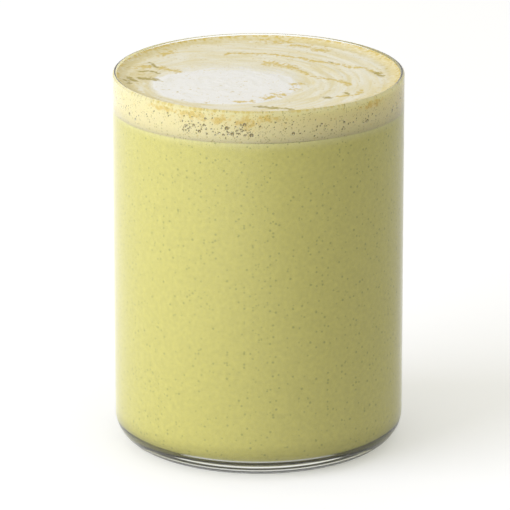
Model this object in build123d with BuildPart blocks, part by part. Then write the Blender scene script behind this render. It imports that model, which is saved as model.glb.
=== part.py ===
from build123d import *
import os

# A clear straight-sided tumbler, filled to the brim with matcha latte under a layer of milk froth.
# Millimetres, +Z up. The origin is the centre of the underside, where the tumbler meets the table.

# Driving dimensions of the tumbler
glass_diameter = 80.0
glass_height = 105.0
wall_thickness = 1.25
base_thickness = 4.3
outer_heel_radius = 8.0  # round corner between the underside and the wall
inner_heel_radius = 6.5  # round corner at the foot of the hollow

# Driving dimensions of the drink
froth_thickness = 8.4  # measured at the wall, from the latte up to the froth's edge
froth_edge_drop = 0.1  # from the foot of the rounded rim down to the froth's edge
froth_climb = 0.5  # height that the froth climbs up the glass at its edge
froth_climb_width = 3.0  # width of that climbing border
froth_dish = 0.45  # depth of the shallow dish inside the border
mound_radius = 21.0  # low mound of white milk froth, off centre, where the milk was poured last
mound_height = 0.5  # above the bottom of the dish
mound_root = 1.0  # depth that the mound's side goes down into the froth below it
mound_x = -8.0
mound_y = -7.0

# Sizes and levels worked out from them
glass_radius = glass_diameter / 2
hollow_radius = glass_radius - wall_thickness
rim_radius = wall_thickness / 2  # the rim is fire-polished, fully round
froth_edge_level = glass_height - rim_radius - froth_edge_drop
latte_level = froth_edge_level - froth_thickness
border_level = froth_edge_level - froth_climb
dish_level = border_level - froth_dish
border_radius = hollow_radius - froth_climb_width

os.makedirs("parts", exist_ok=True)

# Tumbler: one piece of glass, turned about Z, with a flat underside and a rounded rim
with BuildPart() as tumbler:
    with BuildSketch(Plane.XZ):
        with BuildLine():
            Line((0, 0), (glass_radius - outer_heel_radius, 0))
            CenterArc(
                (glass_radius - outer_heel_radius, outer_heel_radius),
                outer_heel_radius,
                -90,
                90,
            )
            Line((glass_radius, outer_heel_radius), (glass_radius, glass_height - rim_radius))
            CenterArc((hollow_radius + rim_radius, glass_height - rim_radius), rim_radius, 0, 180)
            Line(
                (hollow_radius, glass_height - rim_radius),
                (hollow_radius, base_thickness + inner_heel_radius),
            )
            CenterArc(
                (hollow_radius - inner_heel_radius, base_thickness + inner_heel_radius),
                inner_heel_radius,
                0,
                -90,
            )
            Line((hollow_radius - inner_heel_radius, base_thickness), (0, base_thickness))
            Line((0, base_thickness), (0, 0))
        make_face()
    revolve(axis=Axis.Z)
tumbler.part.label = "glass_tumbler"

# Latte: the green drink, which fills the hollow of the glass up to the froth
with BuildPart() as latte:
    with BuildSketch(Plane.XZ):
        with BuildLine():
            Line((0, base_thickness), (hollow_radius - inner_heel_radius, base_thickness))
            CenterArc(
                (hollow_radius - inner_heel_radius, base_thickness + inner_heel_radius),
                inner_heel_radius,
                -90,
                90,
            )
            Line((hollow_radius, base_thickness + inner_heel_radius), (hollow_radius, latte_level))
            Line((hollow_radius, latte_level), (0, latte_level))
            Line((0, latte_level), (0, base_thickness))
        make_face()
    revolve(axis=Axis.Z)
latte.part.label = "matcha_latte"

# Froth: floats on the latte, climbs a little at the glass and carries a low off-centre mound
with BuildPart() as froth:
    with BuildSketch(Plane.XZ):
        with BuildLine():
            Line((0, latte_level), (hollow_radius, latte_level))
            Line((hollow_radius, latte_level), (hollow_radius, froth_edge_level))
            dish = TangentArc((0, dish_level), (border_radius, border_level), tangent=(1, 0))
            TangentArc(
                (border_radius, border_level),
                (hollow_radius, froth_edge_level),
                tangent=dish % 1,
            )
            Line((0, dish_level), (0, latte_level))
        make_face()
    revolve(axis=Axis.Z)
    mound_axis = Axis((mound_x, mound_y, 0), (0, 0, 1))
    with BuildSketch(Plane((mound_x, mound_y, dish_level), x_dir=(1, 0, 0), z_dir=(0, -1, 0))):
        with BuildLine():
            TangentArc((0, mound_height), (mound_radius, 0), tangent=(1, 0))
            Line((mound_radius, 0), (mound_radius, -mound_root))
            Line((mound_radius, -mound_root), (0, -mound_root))
            Line((0, -mound_root), (0, mound_height))
        make_face()
    revolve(axis=mound_axis)
froth.part.label = "milk_froth"

export_step(tumbler.part, "parts/glass_tumbler.step")
export_step(latte.part, "parts/matcha_latte.step")
export_step(froth.part, "parts/milk_froth.step")

for piece in (tumbler, latte, froth):
    size = piece.part.bounding_box().size
    print(piece.part.label, round(piece.part.volume / 1000, 1), "ml", size)
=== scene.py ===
import math
import bpy
import numpy as np
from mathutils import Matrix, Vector, noise


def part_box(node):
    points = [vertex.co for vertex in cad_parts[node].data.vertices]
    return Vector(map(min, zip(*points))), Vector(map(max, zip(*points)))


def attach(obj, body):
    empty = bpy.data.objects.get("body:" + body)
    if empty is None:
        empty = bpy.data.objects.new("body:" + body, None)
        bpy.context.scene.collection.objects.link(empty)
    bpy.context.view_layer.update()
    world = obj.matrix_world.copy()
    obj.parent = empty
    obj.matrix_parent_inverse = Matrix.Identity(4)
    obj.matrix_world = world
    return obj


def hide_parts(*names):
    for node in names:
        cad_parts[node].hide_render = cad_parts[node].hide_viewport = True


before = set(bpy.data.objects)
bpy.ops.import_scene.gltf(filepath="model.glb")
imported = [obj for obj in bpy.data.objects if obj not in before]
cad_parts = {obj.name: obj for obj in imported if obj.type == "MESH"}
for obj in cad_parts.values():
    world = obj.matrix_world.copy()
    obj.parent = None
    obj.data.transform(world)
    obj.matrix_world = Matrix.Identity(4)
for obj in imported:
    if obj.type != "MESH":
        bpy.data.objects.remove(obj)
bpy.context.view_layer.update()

mm = 0.001  # lengths in the dictionaries are millimetres, and the meshes are in metres
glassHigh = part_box("glass_tumbler")[1]
latteLow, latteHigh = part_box("matcha_latte")
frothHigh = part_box("milk_froth")[1]
outerRadius = glassHigh.x
hollowRadius = latteHigh.x
glassTop = glassHigh.z
hollowFloor = latteLow.z
latteLevel = latteHigh.z
frothEdge = frothHigh.z


def clearSelection():
    if bpy.context.object and bpy.context.object.mode != "OBJECT":
        bpy.ops.object.mode_set(mode="OBJECT")
    bpy.ops.object.select_all(action="DESELECT")


def activate(piece):
    clearSelection()
    piece.select_set(True)
    bpy.context.view_layer.objects.active = piece


def selectParts(piece, kind, test):
    # Leaves edit mode's selection as the faces, edges or vertices whose middle passes the test
    activate(piece)
    bpy.ops.object.mode_set(mode="EDIT")
    bpy.ops.mesh.select_mode(type=kind)
    bpy.ops.mesh.select_all(action="DESELECT")
    bpy.ops.object.mode_set(mode="OBJECT")
    mesh = piece.data
    if kind == "FACE":
        for face in mesh.polygons:
            face.select = test(face.center)
    elif kind == "EDGE":
        for edge in mesh.edges:
            a, b = (mesh.vertices[i].co for i in edge.vertices)
            edge.select = test((a + b) / 2)
    else:
        for vertex in mesh.vertices:
            vertex.select = test(vertex.co)
    bpy.ops.object.mode_set(mode="EDIT")


def bevelEdges(piece, test, width, segments):
    selectParts(piece, "EDGE", test)
    bpy.ops.mesh.bevel(offset=width, segments=segments, affect="EDGES", clamp_overlap=False)
    bpy.ops.object.mode_set(mode="OBJECT")


def finishMesh(piece, angle=40):
    activate(piece)
    bpy.ops.object.mode_set(mode="EDIT")
    bpy.ops.mesh.select_all(action="SELECT")
    bpy.ops.mesh.remove_doubles(threshold=1e-7)
    bpy.ops.mesh.normals_make_consistent(inside=False)
    bpy.ops.object.mode_set(mode="OBJECT")
    bpy.ops.object.transform_apply(location=True, rotation=True, scale=True)
    bpy.ops.object.shade_smooth_by_angle(angle=math.radians(angle))


def ringDistance(point):
    return math.hypot(point.x, point.y)


def addNode(tree, kind, inputs=None, **settings):
    node = tree.nodes.new("ShaderNode" + kind)
    for name, value in settings.items():
        setattr(node, name, value)
    for name, value in (inputs or {}).items():
        if isinstance(value, bpy.types.NodeSocket):
            tree.links.new(value, node.inputs[name])
        else:
            node.inputs[name].default_value = value
    return node


def startMaterial(name):
    material = bpy.data.materials.new(name)
    material.use_nodes = True
    material.node_tree.nodes.clear()
    return material, material.node_tree


def addMath(tree, operation, a, b=0.0, clamp=False):
    return addNode(
        tree, "Math", {0: a, 1: b}, operation=operation, use_clamp=clamp
    ).outputs[0]


def mixColour(tree, factor, a, b, blend="MIX"):
    node = tree.nodes.new("ShaderNodeMix")
    node.data_type = "RGBA"
    node.blend_type = blend
    for index, value in ((0, factor), (6, a), (7, b)):
        if isinstance(value, bpy.types.NodeSocket):
            tree.links.new(value, node.inputs[index])
        else:
            node.inputs[index].default_value = value
    return node.outputs[2]


camera = {
    "distance": 1.5,  # metres from the middle of the glass
    "elevation": 17.66,
    "lens": 382.9,
    "shift": (-0.0068, -0.0017),
}


def placeCamera():
    aim = Vector((0, 0, glassTop / 2))
    tilt = math.radians(camera["elevation"])
    away = Vector((0, -math.cos(tilt), math.sin(tilt))) * camera["distance"]
    bpy.ops.object.camera_add(location=aim + away)
    eye = bpy.context.object
    eye.name = "studioCamera"
    eye.rotation_euler = (-away).to_track_quat("-Z", "Y").to_euler()
    eye.data.lens = camera["lens"]
    eye.data.shift_x, eye.data.shift_y = camera["shift"]
    bpy.context.scene.camera = eye
    print("camera placed")


lighting = {
    "horizonFill": 0.235,  # light from the room at table height
    "zenithFill": 0.9,  # what the ceiling adds to it
    "fillColour": (1.0, 0.985, 0.88, 1.0),
    "leftGloss": 0.9,  # brightness of the room's lit side in reflections, beside 1 for the eye
    "rightGloss": 0.85,
    "floorRightGloss": 0.4,  # the same for the floor, where the shadow lies
    "keyPlace": (-1.2, -0.62, 0.5),
    "keySize": (1.3, 1.0),
    "keyColour": (0.97, 0.98, 1.12),
    "keyPower": 16.6,
    "floorSize": 4.0,
    "glossSpan": 0.12,  # metres from the glass to where the floor has the room's brightness
    "floorColour": (0.62, 0.62, 0.62, 1.0),  # for the light that it passes on
    "floorSeen": (0.94, 0.945, 0.985, 1.0),  # for the eye
    "floorGlow": 0.23,  # lifts the floor to white for the eye
    "glassGlow": 0.62,  # the same where the floor is seen through the glass
}


def mapRange(tree, value, fromLow, fromHigh, toLow, toHigh):
    return addNode(
        tree, "MapRange", {0: value, 1: fromLow, 2: fromHigh, 3: toLow, 4: toHigh}
    ).outputs[0]


def addSeenRays(tree):
    # 1 for rays that come from the eye, a reflection or through glass, 0 for light on its way
    path = addNode(tree, "LightPath")
    seen = addMath(tree, "MAXIMUM", path.outputs["Is Camera Ray"], path.outputs["Is Glossy Ray"])
    seen = addMath(tree, "MAXIMUM", seen, path.outputs["Is Transmission Ray"])
    return seen, path.outputs["Is Glossy Ray"]


def addGlossLift(tree, sideways, span, right, gloss):
    # Reflections show the lit side of the room brighter than the other
    side = mapRange(tree, sideways, -span, span, lighting["leftGloss"], right)
    return mapRange(tree, gloss, 0.0, 1.0, 1.0, side)


def makeStudio():
    world = bpy.data.worlds.new("studioRoom")
    bpy.context.scene.world = world
    world.use_nodes = True
    tree = world.node_tree
    tree.nodes.clear()
    way = addNode(tree, "TexCoord")
    way = addNode(tree, "SeparateXYZ", {0: way.outputs["Generated"]})
    up = addMath(tree, "MAXIMUM", way.outputs["Z"], 0.0)
    up = addMath(tree, "MULTIPLY", addMath(tree, "POWER", up, 2.0), lighting["zenithFill"])
    up = addMath(tree, "ADD", up, lighting["horizonFill"])
    seen, gloss = addSeenRays(tree)
    lift = addGlossLift(tree, way.outputs["X"], 1.0, lighting["rightGloss"], gloss)
    fill = addNode(tree, "Background", {"Color": lighting["fillColour"], "Strength": up})
    room = addNode(tree, "Background", {"Color": (1, 1, 1, 1), "Strength": lift})
    both = addNode(tree, "MixShader", {0: seen, 1: fill.outputs[0], 2: room.outputs[0]})
    addNode(tree, "OutputWorld", {"Surface": both.outputs[0]})

    bpy.ops.object.light_add(type="AREA", location=lighting["keyPlace"])
    key = bpy.context.object
    key.name = "keySoftbox"
    aim = Vector((0, 0, glassTop * 0.6)) - key.location
    key.rotation_euler = aim.to_track_quat("-Z", "Y").to_euler()
    key.data.shape = "RECTANGLE"
    key.data.size, key.data.size_y = lighting["keySize"]
    key.data.energy = lighting["keyPower"]
    key.data.color = lighting["keyColour"]
    key.visible_glossy = False
    key.visible_camera = False
    key.visible_transmission = False

    bpy.ops.mesh.primitive_plane_add(size=lighting["floorSize"], location=(0, 0, -0.00005))
    floor = bpy.context.object
    floor.name = "paleFloor"
    material, tree = startMaterial("palePaper")
    spot = addNode(tree, "TexCoord")
    spot = addNode(tree, "SeparateXYZ", {0: spot.outputs["Object"]})
    seen, gloss = addSeenRays(tree)
    # In reflections the floor's glow is painted light on its left and painted shadow on its right
    lift = addGlossLift(
        tree, spot.outputs["X"], lighting["glossSpan"], lighting["floorRightGloss"], gloss
    )
    bent = addMath(tree, "MAXIMUM", gloss, addNode(tree, "LightPath").outputs["Is Transmission Ray"])
    glowLevel = mapRange(tree, bent, 0.0, 1.0, lighting["floorGlow"], lighting["glassGlow"])
    lift = addMath(tree, "SUBTRACT", addMath(tree, "ADD", lift, glowLevel), 1.0)
    paper = mixColour(tree, seen, lighting["floorColour"], lighting["floorSeen"])
    matt = addNode(tree, "BsdfDiffuse", {"Color": paper})
    glow = addNode(tree, "Emission", {"Strength": addMath(tree, "MULTIPLY", seen, lift)})
    whole = addNode(tree, "AddShader", {0: matt.outputs[0], 1: glow.outputs[0]})
    addNode(tree, "OutputMaterial", {"Surface": whole.outputs[0]})
    floor.data.materials.append(material)
    print("studio lit")


def startGroup(name, inputs, outputs):
    tree = bpy.data.node_groups.new(name, "ShaderNodeTree")
    for socket, kind in inputs.items():
        tree.interface.new_socket(socket, in_out="INPUT", socket_type="NodeSocket" + kind)
    for socket in outputs:
        tree.interface.new_socket(socket, in_out="OUTPUT", socket_type="NodeSocketFloat")
    return tree, tree.nodes.new("NodeGroupInput"), tree.nodes.new("NodeGroupOutput")


def makeMottleGroup():
    # Fine uneven tone of a milky drink, about 1 on average
    tree, given, result = startGroup(
        "fineMottle", {"Vector": "Vector", "Scale": "Float", "Amount": "Float"}, ["Tone"]
    )
    grain = addNode(
        tree,
        "TexNoise",
        {"Vector": given.outputs["Vector"], "Scale": given.outputs["Scale"], "Detail": 3.0},
    )
    swing = addMath(tree, "SUBTRACT", grain.outputs["Fac"], 0.5)
    swing = addMath(tree, "MULTIPLY", swing, given.outputs["Amount"])
    tree.links.new(addMath(tree, "ADD", swing, 1.0), result.inputs["Tone"])
    return tree


def makeDotGroup():
    # Round dots scattered through space, each of its own size, as bubbles or powder specks
    tree, given, result = startGroup(
        "scatteredDots",
        {"Vector": "Vector", "Scale": "Float", "Size": "Float", "Share": "Float"},
        ["Mask", "Height"],
    )
    cells = addNode(
        tree, "TexVoronoi", {"Vector": given.outputs["Vector"], "Scale": given.outputs["Scale"]}
    )
    pick = addNode(tree, "SeparateColor", {0: cells.outputs["Color"]})
    reach = addMath(tree, "MULTIPLY", pick.outputs[1], given.outputs["Size"])
    inside = addMath(tree, "SUBTRACT", reach, cells.outputs["Distance"])
    inside = mapRange(tree, inside, 0.0, 0.08, 0.0, 1.0)
    chosen = addMath(tree, "LESS_THAN", pick.outputs[0], given.outputs["Share"])
    mask = addMath(tree, "MULTIPLY", inside, chosen)
    tree.links.new(mask, result.inputs["Mask"])
    tree.links.new(addMath(tree, "SUBTRACT", 1.0, mask), result.inputs["Height"])
    return tree


fineMottle = makeMottleGroup()
scatteredDots = makeDotGroup()


def placeInMillimetres(tree):
    place = addNode(tree, "TexCoord")
    return addNode(
        tree,
        "VectorMath",
        {0: place.outputs["Object"], "Scale": 1000.0},
        operation="SCALE",
    ).outputs[0]


def tintBy(tree, colour, tone):
    grey = addNode(tree, "CombineColor", {0: tone, 1: tone, 2: tone})
    return mixColour(tree, 1.0, colour, grey.outputs[0], "MULTIPLY")


glass = {
    "around": 288,  # faces around the tumbler
    "outerHeel": 8.0,
    "innerHeel": 6.5,
    "heelSteps": 18,
    "rimSteps": 6,
    "tint": (0.97, 0.985, 0.96, 1.0),
    "lampTint": (0.97, 0.98, 0.97, 1.0),  # what the wall takes from light that passes it
    "bend": 1.5,
    "ripple": (40.0, 0.02, 0.001),  # scale, strength and height of its faint unevenness
}


def makeGlassMaterial():
    material, tree = startMaterial("clearGlass")
    place = addNode(tree, "TexCoord")
    scale, strength, height = glass["ripple"]
    waves = addNode(
        tree, "TexNoise", {"Vector": place.outputs["Object"], "Scale": scale, "Detail": 2.0}
    )
    bump = addNode(
        tree,
        "Bump",
        {"Height": waves.outputs["Fac"], "Strength": strength, "Distance": height},
    )
    clear = addNode(
        tree,
        "BsdfPrincipled",
        {
            "Base Color": glass["tint"],
            "Roughness": 0.0,
            "IOR": glass["bend"],
            "Transmission Weight": 1.0,
            "Normal": bump.outputs[0],
        },
    )
    letThrough = addNode(tree, "BsdfTransparent", {"Color": glass["lampTint"]})
    path = addNode(tree, "LightPath")
    lampRays = addMath(
        tree, "MAXIMUM", path.outputs["Is Shadow Ray"], path.outputs["Is Diffuse Ray"]
    )
    both = addNode(tree, "MixShader", {0: lampRays, 1: clear.outputs[0], 2: letThrough.outputs[0]})
    addNode(tree, "OutputMaterial", {"Surface": both.outputs[0]})
    return material


def makeTumbler():
    bpy.ops.mesh.primitive_cylinder_add(
        vertices=glass["around"], radius=outerRadius, depth=glassTop, location=(0, 0, glassTop / 2)
    )
    tumbler = bpy.context.object
    tumbler.name = "tumblerGlass"
    bpy.ops.object.transform_apply(location=True)
    wall = outerRadius - hollowRadius
    selectParts(tumbler, "FACE", lambda middle: middle.z > glassTop - 1e-6)
    bpy.ops.mesh.inset(thickness=wall, depth=0)
    bpy.ops.mesh.extrude_region_move(
        TRANSFORM_OT_translate={"value": (0, 0, hollowFloor - glassTop)}
    )
    bpy.ops.object.mode_set(mode="OBJECT")
    near = 0.1 * mm
    bevelEdges(
        tumbler,
        lambda m: m.z < near and ringDistance(m) > outerRadius - 10 * near,
        glass["outerHeel"] * mm,
        glass["heelSteps"],
    )
    bevelEdges(
        tumbler,
        lambda m: abs(m.z - hollowFloor) < near and abs(ringDistance(m) - hollowRadius) < near,
        glass["innerHeel"] * mm,
        glass["heelSteps"],
    )
    bevelEdges(
        tumbler,
        lambda m: m.z > glassTop - near and min(
            abs(ringDistance(m) - hollowRadius), abs(ringDistance(m) - outerRadius)
        ) < near,
        wall * 0.49,
        glass["rimSteps"],
    )
    finishMesh(tumbler, 60)
    tumbler.data.materials.append(makeGlassMaterial())
    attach(tumbler, "root")
    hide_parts("glass_tumbler")
    print("tumbler made,", len(tumbler.data.polygons), "faces")


latte = {
    "around": 256,
    "intoWall": 0.05,
    "colour": (0.635, 0.582, 0.145, 1.0),
    "bandColour": (0.72, 0.67, 0.26, 1.0),  # milkier drink just under the froth
    "band": 2.6,  # height of that band
    "speckColour": (0.30, 0.30, 0.06, 1.0),
    "specks": (1.3, 0.5, 0.22),  # cells for each millimetre, size, share that holds a speck
    "speckDepth": 0.6,  # how far a speck hides the drink
    "mottle": (0.9, 0.3),  # scale for each millimetre and amount
    "bendFromGlass": 0.893,  # 1.34 for milk over 1.5 for glass
}


def makeLatteMaterial():
    material, tree = startMaterial("matchaMilk")
    place = placeInMillimetres(tree)
    scale, amount = latte["mottle"]
    mottle = addNode(
        tree, "Group", {"Vector": place, "Scale": scale, "Amount": amount}, node_tree=fineMottle
    )
    scale, size, share = latte["specks"]
    dots = addNode(
        tree,
        "Group",
        {"Vector": place, "Scale": scale, "Size": size, "Share": share},
        node_tree=scatteredDots,
    )
    height = addNode(tree, "SeparateXYZ", {0: place}).outputs["Z"]
    top = (latteLevel / mm) - 0.4
    band = mapRange(tree, height, top - latte["band"], top, 0.0, 1.0)
    band = addMath(tree, "MULTIPLY", band, band)
    colour = mixColour(tree, band, latte["colour"], latte["bandColour"])
    colour = tintBy(tree, colour, mottle.outputs["Tone"])
    colour = mixColour(
        tree,
        addMath(tree, "MULTIPLY", dots.outputs["Mask"], latte["speckDepth"]),
        colour,
        latte["speckColour"],
    )
    milky = addNode(
        tree,
        "BsdfPrincipled",
        {"Base Color": colour, "Roughness": 0.55, "Specular IOR Level": 0.5},
    )
    # Against glass the drink mirrors what meets it at a flat angle, as glass to water does
    mirror = addNode(tree, "BsdfGlossy", {"Roughness": 0.02})
    contact = addNode(tree, "Fresnel", {"IOR": latte["bendFromGlass"]})
    both = addNode(
        tree, "MixShader", {0: contact.outputs[0], 1: milky.outputs[0], 2: mirror.outputs[0]}
    )
    addNode(tree, "OutputMaterial", {"Surface": both.outputs[0]})
    return material


def makeLatte():
    reach = latte["intoWall"] * mm
    low, high = hollowFloor - reach, latteLevel
    bpy.ops.mesh.primitive_cylinder_add(
        vertices=latte["around"],
        radius=hollowRadius + reach,
        depth=high - low,
        location=(0, 0, (low + high) / 2),
    )
    drink = bpy.context.object
    drink.name = "latteBody"
    bpy.ops.object.transform_apply(location=True)
    bevelEdges(
        drink, lambda m: m.z < low + 0.1 * mm and ringDistance(m) > hollowRadius - mm,
        glass["innerHeel"] * mm, glass["heelSteps"],
    )
    finishMesh(drink, 60)
    drink.data.materials.append(makeLatteMaterial())
    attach(drink, "root")
    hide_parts("matcha_latte")
    print("latte made")


froth = {
    "seed": 7,
    "across": 216,  # squares across the top
    "sideRings": 33,
    "intoWall": 0.06,
    "sideDots": (2.2, 0.52, 0.6),  # cells for each millimetre, size, share that holds a bubble
    "topDots": (1.7, 0.36, 0.4),
    "climb": 0.5,
    "edgeRise": 0.35,  # the froth's edge stands this much over the CAD level, close to the rim
    "climbWidth": 3.0,
    "dish": 0.45,
    "mound": (-8.0, -7.0, 21.0, 0.4),  # x, y, radius and height
    "lowerEdge": 0.575,  # how far its lower edge lies under the CAD level on average
    "sway": [(1, 0.35, 15), (2, 0.3, 10)],  # waves round the glass: count, height, turn in degrees
    "dent": 0.18,  # depth of a bubble against the glass
    "relief": 0.10,  # of the swirls on the top
    "milkRise": 0.06,  # what the white patch stands over the rest
    "oliveSink": 0.1,  # what the dark strokes lie under it
    "patch": (-9.0, -8.5, 20.5, 20.0),  # white milk froth: x, y and the two half widths
}

# Marks on the top of the froth, each a width and the points that it runs through
goldStrokes = [
    (0.9, [(-9, 23), (0.4, 23.7), (8.6, 20.6), (19.6, 13.4), (25, 9.8), (29.5, 8), (32.8, 1.6)]),
    (1.7, [(1.5, 13.6), (5.4, 12.5), (9.5, 9.5)]),
    (0.8, [(9.5, 9.5), (14, 2.5)]),
    (0.9, [(15.8, 0), (21, -3.8), (24.8, -8.3)]),
    (1.5, [(1.6, -21.6), (3.4, -20.6)]),
    (1.4, [(4.6, -19.2), (6.4, -18.0)]),
    (0.9, [(-5.5, -25.5), (-2.0, -24.6)]),
    (1.2, [(10.2, -7.9), (11.4, -6.9)]),
    (0.9, [(9.5, -12.8), (10.1, -12.0)]),
    (1.5, [(2, 35.2), (8, 35)]),
    (1.5, [(9, 31), (13.6, 30.3)]),
    (1.5, [(16.6, 27.6), (18.4, 26.2)]),
    (1.6, [(-26.8, 20.6), (-24.4, 24)]),
    (1.2, [(-33.5, 9), (-27, 9.4), (-22, 4)]),
    (0.8, [(21.5, -20), (26.5, -18.5), (27.5, -14)]),
]
oliveStrokes = [
    (0.7, [(-32.2, 5.2), (-29.5, 5.4), (-27.2, 2.8)]),
    (1.0, [(-32.2, -2.2), (-29.8, -2.4), (-27.4, -4.6)]),
    (0.7, [(-35.4, -2), (-33.9, -5)]),
    (0.7, [(-36.4, -4.8), (-35.5, -8.1)]),
    (0.5, [(-30.4, 13.4), (-27.7, 9)]),
    (0.9, [(18.2, -21.2), (19.8, -21.6)]),
    (0.5, [(23.2, -16.2), (24.4, -18.2)]),
    (0.8, [(0.4, -30.2), (4.5, -31.6), (9, -32.4)]),
    (0.9, [(32, 3.2), (33.4, -0.4)]),
    (0.5, [(19.6, 14.4), (20.6, 14.1)]),
]
# Stains at the side: angle from the front in degrees, height in mm, half width and half height
sideStains = [
    (-27, 102.9, 6, 1.1), (-15, 102.3, 5, 1.1), (-5, 101.6, 4.5, 1.7), (-40, 103.2, 6, 0.8),
    (4, 102.8, 5, 0.9), (52, 102.8, 6, 0.8),
]
# Bubbles against the glass: angle from the front in degrees, height and diameter in mm
wallBubbles = [
    (-2.7, 98.2, 1.1), (-12.5, 99.9, 1.1), (-10.3, 98.4, 0.95), (-23.8, 98.4, 0.9),
    (-5.4, 101.1, 0.95), (-26.2, 99.9, 0.8), (-21.8, 100.2, 0.75), (-21.2, 102.1, 0.7),
    (-13.8, 98.0, 0.7), (-7.5, 98.5, 0.7), (-5.3, 98.1, 0.7), (13.8, 98.4, 0.85),
    (25.6, 100.3, 0.55), (30.1, 98.2, 0.5), (45.9, 98.3, 0.45),
]
# Seeded crowds of small bubbles: how many, their angles, their heights as lowest, most common
# and highest, and their diameters
bubbleCrowds = [
    (75, (-32, 0), (97.3, 98.4, 102.5), (0.25, 0.55)),
    (230, (-180, 180), (97.0, 98.6, 103.5), (0.22, 0.42)),
    (26, (10, 320), (97.2, 98.2, 102.0), (0.5, 1.0)),
]
largeBubble = 0.42  # diameter from which a bubble gets a finer mesh


def strokeField(spots, strokes):
    # 1 on the middle line of a stroke, 0.5 at its edge and 0 from two half widths on
    best = np.zeros(len(spots))
    for width, line in strokes:
        line = np.array(line, dtype=float)
        for start, end in zip(line[:-1], line[1:]):
            along = end - start
            share = np.clip((spots - start) @ along / (along @ along), 0, 1)
            gap = np.linalg.norm(spots - (start + share[:, None] * along), axis=1)
            best = np.maximum(best, np.clip(1 - gap / (2 * width), 0, 1))
    return best


def addField(mesh, name, values):
    field = mesh.attributes.new(name, "FLOAT", "POINT")
    field.data.foreach_set("value", np.ascontiguousarray(values, dtype=np.float32))


def listBubbles():
    # The named bubbles, then small ones all round, which crowd low in the layer and at the front
    draw = np.random.default_rng(11)
    bubbles = list(wallBubbles)
    for count, angles, heights, sizes in bubbleCrowds:
        for i in range(count):
            angle = draw.uniform(*angles)
            height = draw.triangular(*heights)
            bubbles.append((angle, height, draw.uniform(*sizes)))
    return np.array(bubbles)


def frothTopHeight(x, y):
    # Height in mm of the dish, the climb at the glass and the low mound
    edge = hollowRadius / mm
    border = edge - froth["climbWidth"]
    low = frothEdge / mm - froth["climb"] - froth["dish"]
    ring = np.hypot(x, y)
    height = low + froth["dish"] * np.clip(ring / border, 0, 1) ** 2
    climb = froth["climb"] + froth["edgeRise"]
    height += climb * np.clip((ring - border) / froth["climbWidth"], 0, 1) ** 1.6
    moundX, moundY, radius, rise = froth["mound"]
    away = np.hypot(x - moundX, y - moundY) / radius
    return height + rise * np.clip(1 - away ** 2, 0, 1)


def frothLowerEdge(turn):
    # The line between froth and latte dips and rises a little round the glass
    level = latteLevel / mm - froth["lowerEdge"]
    for count, height, start in froth["sway"]:
        level = level + height * np.cos(count * (turn - math.radians(start)))
    return level


def readPlaces(mesh):
    places = np.empty(len(mesh.vertices) * 3)
    mesh.vertices.foreach_get("co", places)
    return places.reshape(-1, 3)


def shapeFroth(foam):
    edge = hollowRadius / mm + froth["intoWall"]
    mesh = foam.data
    # The square grid is drawn out into a disc
    square = readPlaces(mesh)
    a, b = square[:, 0], square[:, 1]
    wide = np.abs(a) >= np.abs(b)
    safe = np.where(np.maximum(np.abs(a), np.abs(b)) < 1e-9, 1.0, np.where(wide, a, b))
    turn = np.where(wide, math.pi / 4 * b / safe, math.pi / 2 - math.pi / 4 * a / safe)
    ring = np.where(wide, a, b) * edge
    disc = np.stack([ring * np.cos(turn), ring * np.sin(turn), np.zeros(len(a))], axis=1)
    mesh.vertices.foreach_set("co", (disc * mm).ravel())
    mesh.update()

    # The side is drawn down from its border, then closed inside the latte
    activate(foam)
    bpy.ops.object.mode_set(mode="EDIT")
    bpy.ops.mesh.select_mode(type="EDGE")
    bpy.ops.mesh.select_all(action="DESELECT")
    bpy.ops.mesh.select_non_manifold()
    for step in range(froth["sideRings"]):
        bpy.ops.mesh.extrude_region_move(TRANSFORM_OT_translate={"value": (0, 0, -mm)})
    bpy.ops.mesh.extrude_region_move(TRANSFORM_OT_translate={"value": (0, 0, 0)})
    bpy.ops.mesh.merge(type="CENTER")
    bpy.ops.object.mode_set(mode="OBJECT")
    places = readPlaces(mesh) / mm
    x, y, down = places.T
    ring = np.hypot(x, y)
    turn = np.arctan2(x, -y)
    share = np.clip(-down / froth["sideRings"], 0, 1)
    top = frothTopHeight(x, y)
    low = frothLowerEdge(turn)
    places[:, 2] = np.where(ring < 0.5 * edge, np.where(share > 0.5, low.min(), top),
                            top + (low - top) * share)
    mesh.vertices.foreach_set("co", (places * mm).ravel())
    mesh.update()


def dentFroth(foam, bubbles):
    # More faces near the larger bubbles, then every bubble is pressed in from the glass
    large = bubbles[bubbles[:, 2] > largeBubble]
    radius = hollowRadius / mm + froth["intoWall"]
    spots = np.stack([
        radius * np.sin(np.radians(large[:, 0])),
        -radius * np.cos(np.radians(large[:, 0])),
        large[:, 1],
    ], axis=1)

    def nearBubble(middle):
        if ringDistance(middle) < hollowRadius:
            return False
        gaps = np.linalg.norm(spots - np.array(middle) / mm, axis=1)
        return bool((gaps < large[:, 2] * 0.5 + 0.2).any())

    selectParts(foam, "FACE", nearBubble)
    bpy.ops.mesh.subdivide(number_cuts=2)
    bpy.ops.object.mode_set(mode="OBJECT")
    finishMesh(foam, 60)
    places = readPlaces(foam.data) / mm
    ring = np.hypot(places[:, 0], places[:, 1])
    turn = np.arctan2(places[:, 0], -places[:, 1])
    atWall = (ring > radius - 0.05) & (places[:, 2] < frothEdge / mm - 0.1)
    pit = np.zeros(len(places))
    for angle, height, size in bubbles:
        aside = (turn - math.radians(angle) + math.pi) % (2 * math.pi) - math.pi
        gap = np.hypot(aside * radius, places[:, 2] - height) / (size * 0.5)
        pit = np.maximum(pit, np.where(atWall, np.clip(1.25 - gap, 0, 1), 0))
    press = 1 - np.clip(pit, 0, 1) * froth["dent"] / radius
    places[:, :2] *= press[:, None]
    foam.data.vertices.foreach_set("co", (places * mm).ravel())
    foam.data.update()
    return places, turn, atWall, pit


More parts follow.
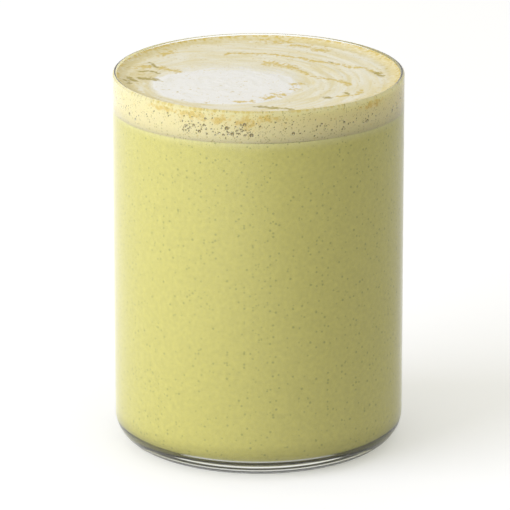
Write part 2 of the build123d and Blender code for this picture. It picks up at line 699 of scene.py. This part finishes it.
def paintFroth(foam, places, turn, atWall, pit):
    # Relief and the fields that the materials read: where the milk, the gold and the olive lie
    middle = np.array(froth["mound"][:2])
    noise.seed_set(froth["seed"])  # noise_vector takes its offsets from the clock otherwise
    wander = np.array([
        noise.noise_vector(Vector(spot) * 0.22) for spot in places.tolist()
    ])
    flat = places[:, :2] + wander[:, :2] * 1.1
    milkX, milkY, wide, deep = froth["patch"]
    away = np.hypot((flat[:, 0] - milkX) / wide, (flat[:, 1] - milkY) / deep)
    softness = 0.07 + 0.75 * np.clip((places[:, 1] + 2) / 14, 0, 1)
    milk = np.clip((1 - away) / softness, -1.5, 1.5)
    onTop = ~atWall
    gold = np.where(onTop, strokeField(flat, goldStrokes), 0)
    olive = np.where(onTop, strokeField(flat, oliveStrokes), 0)
    for angle, height, half, tall in sideStains:
        reach = half * hollowRadius / mm * math.pi / 180
        aside = (turn - math.radians(angle)) * hollowRadius / mm / reach
        stain = np.clip(1.1 - np.hypot(aside, (places[:, 2] - height) / tall) * 0.6, 0, 1)
        gold = np.where(atWall, np.maximum(gold, stain), gold)
    ring = np.hypot(places[:, 0], places[:, 1])
    rimLine = np.clip((ring - 37.2) / 1.4, 0, 1) * 0.75
    gold = np.where(onTop, np.maximum(gold, rimLine), gold)
    leftEye = np.clip(1.3 - np.hypot(places[:, 0] + 31, places[:, 1] + 1) / 9, 0, 1)
    tan = np.clip(np.maximum(leftEye, (ring - 33) / 3.5), 0, 1)
    for name, values in (("milk", milk), ("gold", gold), ("olive", olive), ("tan", tan),
                         ("pit", pit)):
        addField(foam.data, name, values)

    # Swirl relief: streaks that run round the white patch
    level = places[:, 2] > latteLevel / mm + 4
    inner = level & (ring < hollowRadius / mm - 0.6)
    fade = np.clip((hollowRadius / mm - ring) / 3, 0, 1)
    lift = np.zeros(len(places))
    for i in np.nonzero(inner)[0]:
        side = places[i, :2] - middle
        reach = math.hypot(*side)
        swirl = Vector((side[0] / (reach + 2) * 2.5, side[1] / (reach + 2) * 2.5, reach * 0.33))
        lift[i] = noise.noise(swirl * 1.3) + 0.45 * noise.noise(Vector(places[i]) * 1.6)
    lift = lift * froth["relief"] + np.clip(milk, 0, 1) * froth["milkRise"]
    places[:, 2] += (lift - olive * froth["oliveSink"]) * fade * inner
    foam.data.vertices.foreach_set("co", (places * mm).ravel())
    foam.data.update()


def readField(tree, name):
    return addNode(tree, "Attribute", attribute_name=name).outputs["Fac"]


foamColours = {
    "side": (0.85, 0.745, 0.39, 1.0),
    "sideLow": (0.79, 0.68, 0.32, 1.0),
    "sideGold": (0.72, 0.53, 0.13, 1.0),
    # dots for the small bubbles at the glass: painted shade of their hollows, olive from matcha
    "sideBubbleShade": (0.36, 0.29, 0.05, 1.0),
    # painted shade in the hollows of bubbles against the glass, olive from matcha: darkest at the
    # rim, less in the middle
    "bubbleRimShade": (0.17, 0.125, 0.012, 1.0),
    "bubbleMiddleShade": (0.50, 0.36, 0.04, 1.0),
    "cream": (0.91, 0.87, 0.72, 1.0),
    "tan": (0.84, 0.75, 0.46, 1.0),
    "grainyTan": (0.76, 0.64, 0.29, 1.0),
    "white": (0.96, 0.95, 0.93, 1.0),
    "vein": (0.88, 0.86, 0.77, 1.0),
    "gold": (0.72, 0.55, 0.14, 1.0),
    "olive": (0.43, 0.34, 0.07, 1.0),
    "topDot": (0.52, 0.44, 0.17, 1.0),
}
# Where each colour starts and ends: from and to on its field, then the strengths there
foamRamps = {
    "sideGold": (0.3, 0.85, 0.0, 0.85),
    # where the painted bubble shade lies on the pit field
    "bubbleRimShade": (0.08, 0.4, 0.0, 1.0),
    "bubbleMiddleShade": (0.6, 1.0, 0.0, 0.8),
    "tan": (0.40, 0.66, 0.0, 1.0),
    "grainyTan": (0.35, 1.1, 0.0, 0.75),
    "white": (-0.1, 0.6, 0.0, 1.0),
    "vein": (0.5, 0.75, 0.0, 0.55),
    "gold": (0.38, 0.9, 0.0, 0.9),
    "olive": (0.3, 0.8, 0.0, 0.9),
}
# How far noise moves the outline of each
foamWander = {"sideGold": 2.6, "grainyTan": 2.2, "white": 1.0, "gold": 3.0, "olive": 2.0}
foamNoise = {
    "wisps": 0.9,  # scale for each millimetre
    "mottle": (2.4, 0.16),
    "lowBand": (0.3, 2.6, 1.6),  # over the latte: where it starts, ends and how far it wanders
    # how strongly the painted shade of the small side bubbles shows
    "sideBubbleShadeDepth": 0.55,
    "topDotDepth": 0.3,
    "streaks": (3.0, 0.55, 0.4),  # round the patch, outwards and distortion
    "streakPull": 2.4,  # how far the streaks fray the white patch
    "dotBump": (0.25, 0.0002),
}


def addFoamDetail(tree, place, bubbles):
    # Wandering noise shared by the masks, tiny bubbles and an uneven tone
    wisps = addNode(
        tree, "TexNoise", {"Vector": place, "Scale": foamNoise["wisps"], "Detail": 5.0}
    )
    wisps = addMath(tree, "SUBTRACT", wisps.outputs["Fac"], 0.5)
    scale, size, share = bubbles
    dots = addNode(
        tree,
        "Group",
        {"Vector": place, "Scale": scale, "Size": size, "Share": share},
        node_tree=scatteredDots,
    )
    scale, amount = foamNoise["mottle"]
    mottle = addNode(
        tree, "Group", {"Vector": place, "Scale": scale, "Amount": amount}, node_tree=fineMottle
    )
    return wisps, dots, mottle


def layPatch(tree, colour, name, field, wisps):
    # Lays a colour over another where its field is strong, with a ragged outline
    field = addMath(tree, "ADD", field, addMath(tree, "MULTIPLY", wisps, foamWander[name]))
    return mixColour(
        tree, mapRange(tree, field, *foamRamps[name]), colour, foamColours[name]
    )


def layDots(tree, colour, name, dots, depth):
    shown = addMath(tree, "MULTIPLY", dots.outputs["Mask"], depth)
    return mixColour(tree, shown, colour, foamColours[name])


def makeFrothSideMaterial():
    material, tree = startMaterial("frothSide")
    place = placeInMillimetres(tree)
    wisps, dots, mottle = addFoamDetail(tree, place, froth["sideDots"])
    start, end, wander = foamNoise["lowBand"]
    height = addNode(tree, "SeparateXYZ", {0: place}).outputs["Z"]
    height = addMath(tree, "ADD", height, addMath(tree, "MULTIPLY", wisps, wander))
    low = mapRange(tree, height, latteLevel / mm + start, latteLevel / mm + end, 1.0, 0.0)
    colour = mixColour(tree, low, foamColours["side"], foamColours["sideLow"])
    colour = layPatch(tree, colour, "sideGold", readField(tree, "gold"), wisps)
    # Small bubbles at the glass get painted shade of their hollows, in the olive of matcha
    colour = layDots(tree, colour, "sideBubbleShade", dots, foamNoise["sideBubbleShadeDepth"])
    # Painted shade of the dim hollow behind a bubble against the glass, olive from the matcha in it:
    # darkest at the bubble's rim, lighter and golden in its middle
    pit = readField(tree, "pit")
    for name in ("bubbleRimShade", "bubbleMiddleShade"):
        shown = mapRange(tree, pit, *foamRamps[name])
        colour = mixColour(tree, shown, colour, foamColours[name])
    colour = tintBy(tree, colour, mottle.outputs["Tone"])
    foamy = addNode(
        tree,
        "BsdfPrincipled",
        {
            "Base Color": colour,
            "Roughness": 0.6,
            "Specular IOR Level": 0.2,
            "Subsurface Weight": 0.5,
            "Subsurface Radius": (1.0, 0.9, 0.5),
            "Subsurface Scale": 0.009,
        },
    )
    addNode(tree, "OutputMaterial", {"Surface": foamy.outputs[0]})
    return material


def addStreaks(tree, place):
    # Noise drawn out along circles round the white patch
    around, outwards, distortion = foamNoise["streaks"]
    parts = addNode(tree, "SeparateXYZ", {0: place})
    x = addMath(tree, "SUBTRACT", parts.outputs["X"], froth["mound"][0])
    y = addMath(tree, "SUBTRACT", parts.outputs["Y"], froth["mound"][1])
    squares = addMath(
        tree, "ADD", addMath(tree, "MULTIPLY", x, x), addMath(tree, "MULTIPLY", y, y)
    )
    reach = addMath(tree, "SQRT", squares)
    wideReach = addMath(tree, "ADD", reach, 1.0)
    circled = addNode(
        tree,
        "CombineXYZ",
        {
            0: addMath(tree, "MULTIPLY", addMath(tree, "DIVIDE", x, wideReach), around),
            1: addMath(tree, "MULTIPLY", addMath(tree, "DIVIDE", y, wideReach), around),
            2: addMath(tree, "MULTIPLY", reach, outwards),
        },
    )
    return addNode(
        tree,
        "TexNoise",
        {"Vector": circled.outputs[0], "Scale": 1.0, "Detail": 5.0, "Distortion": distortion},
    ).outputs["Fac"]


def makeFrothTopMaterial():
    material, tree = startMaterial("frothTop")
    place = placeInMillimetres(tree)
    wisps, dots, mottle = addFoamDetail(tree, place, froth["topDots"])
    streaks = addStreaks(tree, place)
    tan = mapRange(tree, streaks, *foamRamps["tan"])
    colour = mixColour(tree, tan, foamColours["cream"], foamColours["tan"])
    colour = layPatch(tree, colour, "grainyTan", readField(tree, "tan"), wisps)
    milk = addMath(tree, "SUBTRACT", streaks, 0.5)
    milk = addMath(tree, "MULTIPLY", milk, foamNoise["streakPull"])
    milk = addMath(tree, "ADD", milk, readField(tree, "milk"))
    milk = addMath(tree, "ADD", milk, addMath(tree, "MULTIPLY", wisps, foamWander["white"]))
    veins = mapRange(tree, streaks, *foamRamps["vein"])
    white = mixColour(tree, veins, foamColours["white"], foamColours["vein"])
    colour = mixColour(tree, mapRange(tree, milk, *foamRamps["white"]), colour, white)
    for name in ("gold", "olive"):
        colour = layPatch(tree, colour, name, readField(tree, name), wisps)
    colour = layDots(tree, colour, "topDot", dots, foamNoise["topDotDepth"])
    colour = tintBy(tree, colour, mottle.outputs["Tone"])
    strength, distance = foamNoise["dotBump"]
    bump = addNode(
        tree,
        "Bump",
        {"Height": dots.outputs["Height"], "Strength": strength, "Distance": distance},
    )
    foamy = addNode(
        tree,
        "BsdfPrincipled",
        {
            "Base Color": colour,
            "Roughness": 0.5,
            "Specular IOR Level": 0.3,
            "Normal": bump.outputs[0],
        },
    )
    addNode(tree, "OutputMaterial", {"Surface": foamy.outputs[0]})
    return material


def makeFroth():
    bpy.ops.mesh.primitive_grid_add(
        x_subdivisions=froth["across"], y_subdivisions=froth["across"], size=2
    )
    foam = bpy.context.object
    foam.name = "frothBody"
    shapeFroth(foam)
    places, turn, atWall, pit = dentFroth(foam, listBubbles())
    paintFroth(foam, places, turn, atWall, pit)
    foam.data.materials.append(makeFrothSideMaterial())
    foam.data.materials.append(makeFrothTopMaterial())
    for face in foam.data.polygons:
        face.material_index = int(face.normal.z > 0.3 and ringDistance(face.center) < hollowRadius)
    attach(foam, "root")
    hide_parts("milk_froth")
    triangles = sum(len(face.vertices) - 2 for face in foam.data.polygons)
    print("froth made,", triangles, "triangles")


bpy.context.scene.view_settings.view_transform = "Standard"
placeCamera()
makeStudio()
makeTumbler()
makeLatte()
makeFroth()
